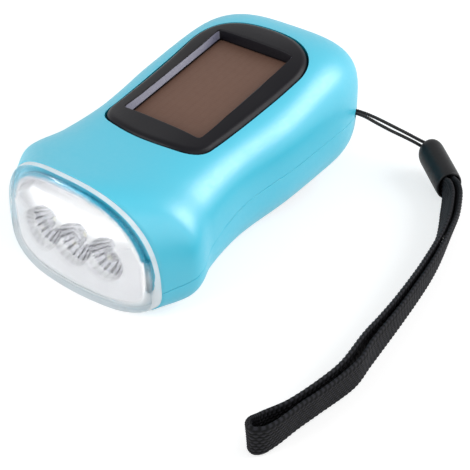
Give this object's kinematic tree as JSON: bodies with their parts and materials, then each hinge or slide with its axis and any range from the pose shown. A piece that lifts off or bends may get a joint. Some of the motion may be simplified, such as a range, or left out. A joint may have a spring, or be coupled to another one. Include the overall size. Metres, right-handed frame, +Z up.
{
  "type": "hand crank flashlight",
  "caption": "Pocket flashlight with a pinched, rounded case, clear lens over lamps, solar cell on top, folding crank in the base and a wrist strap on a thin cord.",
  "frame": {"origin": "centre of the case's flat base, on the surface that it lies on", "axes": "+Z up, -Y towards the lens, +X towards the side that the strap is on"},
  "size_m": [0.105, 0.1205, 0.039],
  "materials": {
    "shell": "satin light blue",
    "clear": "clear plastic",
    "reflector": "vacuum metallised plastic",
    "black": "semi-gloss black",
    "solar": "brown cell under clear resin",
    "pale": "satin white",
    "steel": "plain",
    "magnet": "dark ceramic",
    "brass": "plain",
    "coil": "enamelled wire",
    "board": "solder resist",
    "capacitor": "sleeved",
    "red": "satin red",
    "wire": "satin black",
    "strap": "woven black"
  },
  "bodies": {
    "case": {"upper_shell": "shell", "lower_shell": "shell", "shell_screw_1": "steel", "shell_screw_2": "steel", "shell_screw_3": "steel", "shell_screw_4": "steel", "front_lens": "clear", "reflector": "reflector", "lamp_left": "clear", "lamp_middle": "clear", "lamp_right": "clear", "lamp_board": "board", "solar_bezel": "black", "solar_panel": "solar", "gear_base_plate": "black", "gear_cover_plate": "black", "idler_axle_1": "steel", "idler_axle_2": "steel", "stator_cup": "steel", "stator_cap": "steel", "coil_bobbin": "coil", "control_board": "board", "capacitor": "capacitor", "switch_body": "black", "button_cell_1": "steel", "button_cell_2": "steel", "cell_holder": "black", "panel_wire_red": "red", "panel_wire_black": "wire", "lamp_wire_black": "wire", "lamp_wire_red": "red", "strap_string": "strap", "strap_ferrule": "black", "strap_webbing": "strap"},
    "crank": {"crank_hub": "pale", "hub_screw": "steel", "crank_hinge_pin": "steel", "drive_shaft": "steel", "crank_gear": "pale"},
    "arm": {"crank_arm": "pale", "knob_pin": "steel"},
    "knob": {"crank_knob": "black"},
    "first_idler": {"idler_gear_1": "pale"},
    "second_idler": {"idler_gear_2": "pale"},
    "rotor": {"rotor_pinion": "brass", "rotor_shaft": "steel", "rotor_magnet": "magnet"},
    "button": {"push_button": "black", "switch_plunger": "red"}
  },
  "joints": [
    {"name": "crank_spin", "type": "hinge", "parent": "case", "child": "crank", "pos_m": [0, 0.015, 0.008], "axis": [0, 0, 1], "continuous": true},
    {"name": "crank_fold", "type": "hinge", "parent": "crank", "child": "arm", "pos_m": [0, 0.0045, 0.0017], "axis": [-1, 0, 0], "range_deg": [0, 180]},
    {"name": "knob_spin", "type": "hinge", "parent": "arm", "child": "knob", "pos_m": [0, 0.0311, 0.0096], "axis": [0, 0, 1], "continuous": true},
    {"name": "first_idler_spin", "type": "hinge", "parent": "case", "child": "first_idler", "pos_m": [0.0075, -0.00273, 0.018], "axis": [0, 0, 1], "continuous": true},
    {"name": "second_idler_spin", "type": "hinge", "parent": "case", "child": "second_idler", "pos_m": [-0.00669, -0.0087, 0.02], "axis": [0, 0, 1], "continuous": true},
    {"name": "rotor_spin", "type": "hinge", "parent": "case", "child": "rotor", "pos_m": [0, -0.021, 0.012], "axis": [0, 0, 1], "continuous": true},
    {"name": "button_press", "type": "slide", "parent": "case", "child": "button", "axis": [0, 0, 1], "range_m": [0, 0.0008], "stiffness_N_per_m": 300}
  ],
  "couplings": [
    {"joint": "crank_spin", "follows": "rotor_spin", "ratio": -0.027778},
    {"joint": "first_idler_spin", "follows": "rotor_spin", "ratio": 0.11111},
    {"joint": "second_idler_spin", "follows": "rotor_spin", "ratio": -0.33333}
  ]
}
